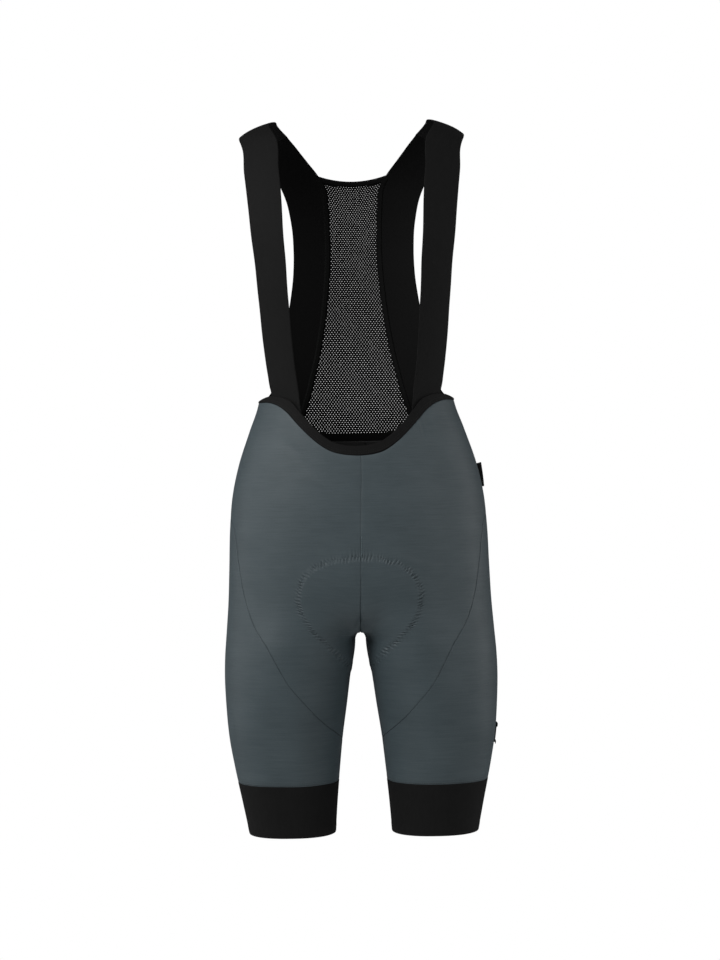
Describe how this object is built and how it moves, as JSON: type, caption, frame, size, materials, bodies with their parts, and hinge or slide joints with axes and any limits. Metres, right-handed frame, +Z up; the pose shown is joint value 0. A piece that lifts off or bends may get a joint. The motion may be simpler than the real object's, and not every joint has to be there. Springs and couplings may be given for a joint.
{
  "type": "cycling bib shorts",
  "caption": "Close-fitting cycling shorts in their hollow worn shape, with a mesh back bib, elastic braces, leg cuffs and a seat pad.",
  "frame": {"origin": "midway between the shoulders, at the height where the middle of each brace crosses them: the place the garment hangs from", "axes": "+Z up along the garment's length, +Y from its front to its back, +X to the wearer's left"},
  "size_m": [0.3536, 0.2403, 0.9225],
  "materials": {
    "slate_jersey": "smooth stretch knit with a faint sheen",
    "black_jersey": "matt stretch knit",
    "black_elastic": "woven elastic tape and ribbed grip band",
    "black_net": "open knitted mesh, solid here",
    "black_pad": "foam-backed lining"
  },
  "bodies": {
    "root": {"back_mesh": "black_net", "back_panel_left": "slate_jersey", "back_panel_right": "slate_jersey", "bib_side_left": "black_jersey", "bib_side_right": "black_jersey", "cuff_left": "black_elastic", "cuff_right": "black_elastic", "front_panel_left": "slate_jersey", "front_panel_right": "slate_jersey", "hip_tab": "black_elastic", "leg_panel_left": "slate_jersey", "leg_panel_right": "slate_jersey", "leg_patch": "black_elastic", "neck_binding": "black_jersey", "seat_pad": "black_pad", "strap_left": "black_elastic", "strap_right": "black_elastic", "waist_band": "black_jersey", "waist_binding": "black_elastic"}
  },
  "joints": []
}
